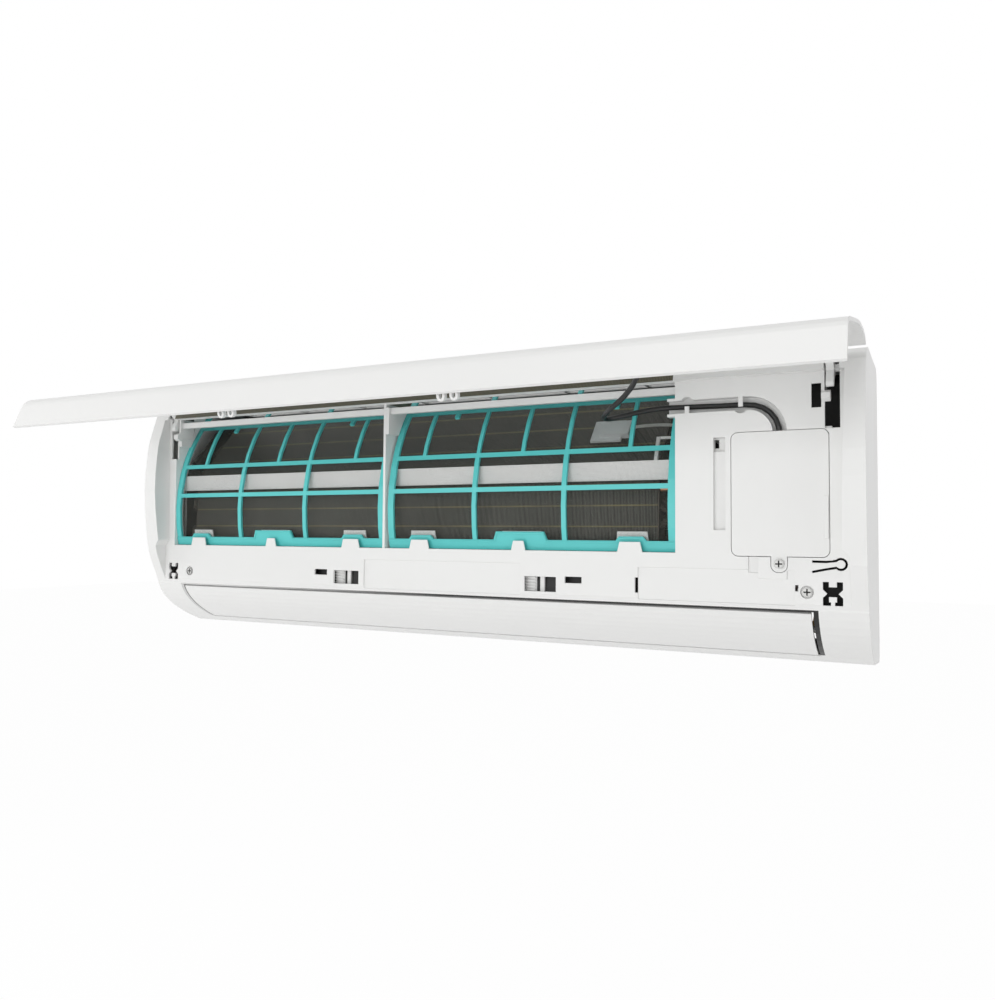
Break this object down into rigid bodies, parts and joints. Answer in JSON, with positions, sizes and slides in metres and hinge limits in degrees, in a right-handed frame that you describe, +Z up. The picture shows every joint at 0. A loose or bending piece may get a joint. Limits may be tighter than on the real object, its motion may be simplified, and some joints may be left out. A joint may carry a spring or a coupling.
{
  "type": "split air conditioner indoor unit",
  "caption": "Wall-mounted indoor unit with a hinged front panel held open, slide-out air filters, an outlet louver, a fan and coil, and an electrical box.",
  "frame": {"origin": "middle of the unit's width and height, on the back face of the wall plate", "axes": "+X to the viewer's right, +Y into the wall, +Z up"},
  "size_m": [0.85, 0.3701, 0.2964],
  "materials": {
    "white": "satin",
    "inner_white": "matte",
    "turquoise": "satin",
    "net": "fine woven net",
    "fins": "thin fins",
    "copper": "bare copper",
    "brass": "machined",
    "steel": "zinc plated",
    "zinc_sheet": "galvanised",
    "black_plastic": "matte",
    "black_rubber": "matte",
    "fan_grey": "matte",
    "board_green": "satin",
    "lead_black": "satin",
    "lead_grey": "satin",
    "clear_plastic": "translucent, satin"
  },
  "bodies": {
    "unit": {"front_frame": "white", "louver_motor": "zinc_sheet", "fan_bearing": "black_rubber", "fan_motor": "zinc_sheet", "motor_clamp": "zinc_sheet", "coil_front": "fins", "coil_upper": "fins", "coil_rear": "fins", "coil_end_left": "copper", "coil_end_right": "copper", "liquid_pipe": "copper", "gas_pipe": "copper", "flare_nut_liquid": "brass", "flare_nut_gas": "brass", "drain_pan": "inner_white", "rear_casing": "white", "top_grille": "white", "wall_plate": "zinc_sheet", "electrical_box": "white", "control_board": "board_green", "terminal_block": "black_plastic", "electrical_box_cover": "white", "cover_screw": "steel", "frame_screw_left": "steel", "frame_screw_right": "steel", "sensor_clip": "clear_plastic", "sensor_lead": "lead_grey", "display_lead": "lead_black", "display_lead_loop": "lead_black"},
    "panel": {"front_panel": "white", "display_module": "inner_white"},
    "left_filter": {"filter_frame_left": "turquoise", "filter_net_left": "net"},
    "right_filter": {"filter_frame_right": "turquoise", "filter_net_right": "net"},
    "louver": {"louver_flap": "white"},
    "fan": {"fan_rotor": "fan_grey", "fan_shaft": "steel"},
    "vane_1": {"vane_1": "white"},
    "vane_2": {"vane_2": "white"},
    "vane_3": {"vane_3": "white"},
    "vane_4": {"vane_4": "white"},
    "vane_5": {"vane_5": "white"},
    "vane_6": {"vane_6": "white"},
    "vane_7": {"vane_7": "white"},
    "vane_8": {"vane_8": "white"},
    "vane_link_left": {"vane_link_left": "white"},
    "vane_link_right": {"vane_link_right": "white"}
  },
  "joints": [
    {"name": "panel_hinge", "type": "hinge", "parent": "unit", "child": "panel", "pos_m": [0, -0.163, 0.126], "axis": [1, 0, 0], "range_deg": [0, 78.5], "deforming": ["display_lead_loop"]},
    {"name": "left_filter_slide", "type": "hinge", "parent": "unit", "child": "left_filter", "pos_m": [-0.234, 0.01919, 0.00641], "axis": [-1, 0, 0], "range_deg": [0, 2.6]},
    {"name": "right_filter_slide", "type": "hinge", "parent": "unit", "child": "right_filter", "pos_m": [0.094, 0.01919, 0.00641], "axis": [-1, 0, 0], "range_deg": [0, 2.6]},
    {"name": "louver_hinge", "type": "hinge", "parent": "unit", "child": "louver", "pos_m": [0, -0.14, -0.105], "axis": [1, 0, 0], "range_deg": [0, 70]},
    {"name": "fan_spin", "type": "hinge", "parent": "unit", "child": "fan", "pos_m": [0, -0.071, -0.012], "axis": [1, 0, 0], "continuous": true},
    {"name": "vane_1_hinge", "type": "hinge", "parent": "unit", "child": "vane_1", "pos_m": [-0.335, -0.10296, -0.07141], "axis": [0, 0.6717, -0.7408], "range_deg": [-30, 30]},
    {"name": "vane_2_hinge", "type": "hinge", "parent": "unit", "child": "vane_2", "pos_m": [-0.259, -0.10296, -0.07141], "axis": [0, 0.6717, -0.7408], "range_deg": [-30, 30]},
    {"name": "vane_3_hinge", "type": "hinge", "parent": "unit", "child": "vane_3", "pos_m": [-0.183, -0.10296, -0.07141], "axis": [0, 0.6717, -0.7408], "range_deg": [-30, 30]},
    {"name": "vane_4_hinge", "type": "hinge", "parent": "unit", "child": "vane_4", "pos_m": [-0.107, -0.10296, -0.07141], "axis": [0, 0.6717, -0.7408], "range_deg": [-30, 30]},
    {"name": "vane_5_hinge", "type": "hinge", "parent": "unit", "child": "vane_5", "pos_m": [-0.031, -0.10296, -0.07141], "axis": [0, 0.6717, -0.7408], "range_deg": [-30, 30]},
    {"name": "vane_6_hinge", "type": "hinge", "parent": "unit", "child": "vane_6", "pos_m": [0.045, -0.10296, -0.07141], "axis": [0, 0.6717, -0.7408], "range_deg": [-30, 30]},
    {"name": "vane_7_hinge", "type": "hinge", "parent": "unit", "child": "vane_7", "pos_m": [0.121, -0.10296, -0.07141], "axis": [0, 0.6717, -0.7408], "range_deg": [-30, 30]},
    {"name": "vane_8_hinge", "type": "hinge", "parent": "unit", "child": "vane_8", "pos_m": [0.197, -0.10296, -0.07141], "axis": [0, 0.6717, -0.7408], "range_deg": [-30, 30]},
    {"name": "vane_link_left_slide", "type": "slide", "parent": "unit", "child": "vane_link_left", "axis": [1, 0, 0], "range_m": [-0.0064, 0.0064]},
    {"name": "vane_link_right_slide", "type": "slide", "parent": "unit", "child": "vane_link_right", "axis": [1, 0, 0], "range_m": [-0.0064, 0.0064]}
  ],
  "couplings": [
    {"joint": "vane_2_hinge", "follows": "vane_1_hinge", "ratio": 1},
    {"joint": "vane_3_hinge", "follows": "vane_1_hinge", "ratio": 1},
    {"joint": "vane_4_hinge", "follows": "vane_1_hinge", "ratio": 1},
    {"joint": "vane_6_hinge", "follows": "vane_5_hinge", "ratio": 1},
    {"joint": "vane_7_hinge", "follows": "vane_5_hinge", "ratio": 1},
    {"joint": "vane_8_hinge", "follows": "vane_5_hinge", "ratio": 1},
    {"joint": "vane_link_left_slide", "follows": "vane_1_hinge", "m_per_rad": 0.012},
    {"joint": "vane_link_right_slide", "follows": "vane_5_hinge", "m_per_rad": 0.012}
  ]
}
